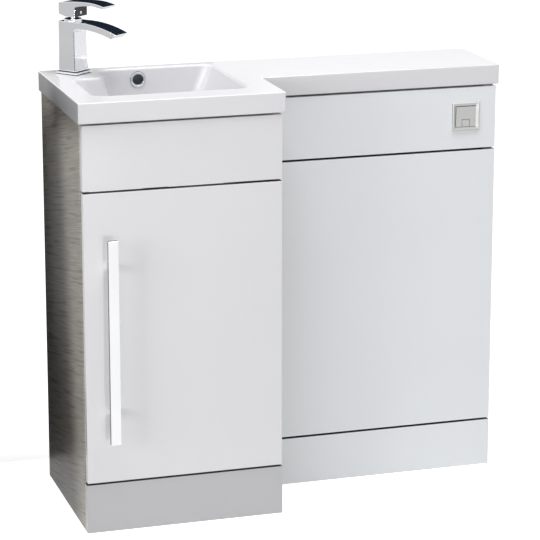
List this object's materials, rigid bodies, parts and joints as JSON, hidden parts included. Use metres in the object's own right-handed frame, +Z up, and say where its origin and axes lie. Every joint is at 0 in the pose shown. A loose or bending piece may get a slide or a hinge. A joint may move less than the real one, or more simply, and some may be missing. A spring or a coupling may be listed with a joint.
{
  "type": "toilet and basin combination unit",
  "caption": "Floor-standing L-shaped bathroom unit: deep basin cabinet with a door, shallow toilet unit with concealed cistern and dual flush, one moulded top with bowl, and a square lever tap.",
  "frame": {"origin": "on the floor, at the middle of the object's bounding box seen from above", "axes": "+X to the right along the fronts, +Y towards the wall, +Z up"},
  "size_m": [0.906, 0.395, 0.997],
  "materials": {
    "basin_board": "laminated board, fine horizontal grain, satin",
    "inner_board": "white melamine-faced board, matt",
    "wc_board": "laminated board, light grey, satin",
    "basin_front": "light grey lacquered board, high gloss",
    "wc_front": "cool light grey lacquered board, high gloss",
    "batten": "plain planed softwood",
    "zinc": "zinc-plated steel",
    "chrome": "polished chrome",
    "hinge_steel": "nickel-plated steel",
    "buffer": "soft clear plastic",
    "top": "white, high gloss",
    "seal": "black rubber",
    "brass": "turned brass",
    "white_plastic": "white plastic",
    "dark_plastic": "dark grey plastic",
    "tank_plastic": "white moulded plastic",
    "valve_plastic": "pale moulded plastic",
    "blue_plastic": "blue moulded plastic",
    "satin_chrome": "satin chrome on plastic"
  },
  "bodies": {
    "unit": {"basin_side_left": "basin_board", "basin_side_right": "basin_board", "basin_base": "inner_board", "basin_shelf": "inner_board", "shelf_pins": "zinc", "basin_back_rails": "inner_board", "basin_front_rail": "inner_board", "basin_fascia": "basin_front", "basin_plinth": "basin_front", "plinth_blocks": "batten", "cabinet_screws": "zinc", "hinge_arms": "hinge_steel", "hinge_plates": "hinge_steel", "wc_side_left": "inner_board", "wc_side_right": "wc_board", "wc_back_rails": "inner_board", "wc_front_rails": "inner_board", "wc_upper_panel": "wc_front", "wc_lower_panel": "wc_front", "wc_plinth": "wc_front", "basin_top": "top", "basin_bowl": "top", "overflow_ring": "chrome", "waste_body": "chrome", "waste_seal": "seal", "waste_nut": "brass", "trap_nuts": "white_plastic", "trap_inlet": "white_plastic", "trap_body": "white_plastic", "trap_cup": "white_plastic", "trap_outlet": "white_plastic", "tap_base": "chrome", "tap_body": "chrome", "tap_aerator": "satin_chrome", "tap_cartridge": "dark_plastic", "tap_collar": "chrome", "tap_fixing": "brass", "cistern_tank": "tank_plastic", "cistern_lid": "tank_plastic", "cistern_screws": "zinc", "flush_valve": "valve_plastic", "fill_valve": "valve_plastic", "flush_pipe": "white_plastic", "flush_frame": "satin_chrome", "flush_clamp": "dark_plastic", "flush_bellows": "dark_plastic"},
    "hinge_links": {"hinge_links": "hinge_steel"},
    "door": {"door_panel": "basin_front", "door_handle": "chrome", "handle_screws": "zinc", "door_buffers": "buffer", "hinge_cups": "hinge_steel"},
    "tap_swivel": {"tap_spindle": "hinge_steel"},
    "tap_lever": {"tap_lever": "chrome", "tap_lever_cap": "satin_chrome"},
    "plug": {"waste_plug": "chrome"},
    "flush_core": {"flush_core": "blue_plastic"},
    "float": {"fill_float": "blue_plastic"},
    "button_full": {"flush_button_full": "satin_chrome"},
    "button_half": {"flush_button_half": "satin_chrome"}
  },
  "joints": [
    {"name": "hinge_link", "type": "hinge", "parent": "unit", "child": "hinge_links", "pos_m": [-0.081, -0.145, 0.389], "axis": [0, 0, -1], "range_deg": [0, 45]},
    {"name": "door_swing", "type": "hinge", "parent": "hinge_links", "child": "door", "pos_m": [-0.065, -0.1427, 0.389], "axis": [0, 0, 1], "range_deg": [0, 145.1]},
    {"name": "tap_turn", "type": "hinge", "parent": "unit", "child": "tap_swivel", "pos_m": [-0.3895, 0.1545, 0.955], "axis": [0, 0, 1], "range_deg": [-45, 45]},
    {"name": "tap_lift", "type": "hinge", "parent": "tap_swivel", "child": "tap_lever", "pos_m": [-0.3895, 0.1545, 0.9755], "axis": [-0.766, -0.6428, 0], "range_deg": [0, 22]},
    {"name": "plug_lift", "type": "slide", "parent": "unit", "child": "plug", "axis": [0, 0, 1], "range_m": [0, 0.008]},
    {"name": "flush_valve_lift", "type": "slide", "parent": "unit", "child": "flush_core", "axis": [0, 0, 1], "range_m": [0, 0.018]},
    {"name": "float_rise", "type": "slide", "parent": "unit", "child": "float", "axis": [0, 0, 1], "range_m": [0, 0.04]},
    {"name": "full_flush_press", "type": "slide", "parent": "unit", "child": "button_full", "axis": [0, 1, 0], "range_m": [0, 0.006], "stiffness_N_per_m": 400, "springref_m": -0.003},
    {"name": "half_flush_press", "type": "slide", "parent": "unit", "child": "button_half", "axis": [0, 1, 0], "range_m": [0, 0.006], "stiffness_N_per_m": 400, "springref_m": -0.003}
  ],
  "couplings": [
    {"joint": "door_swing", "follows": "hinge_link", "ratio": 3.2222}
  ]
}
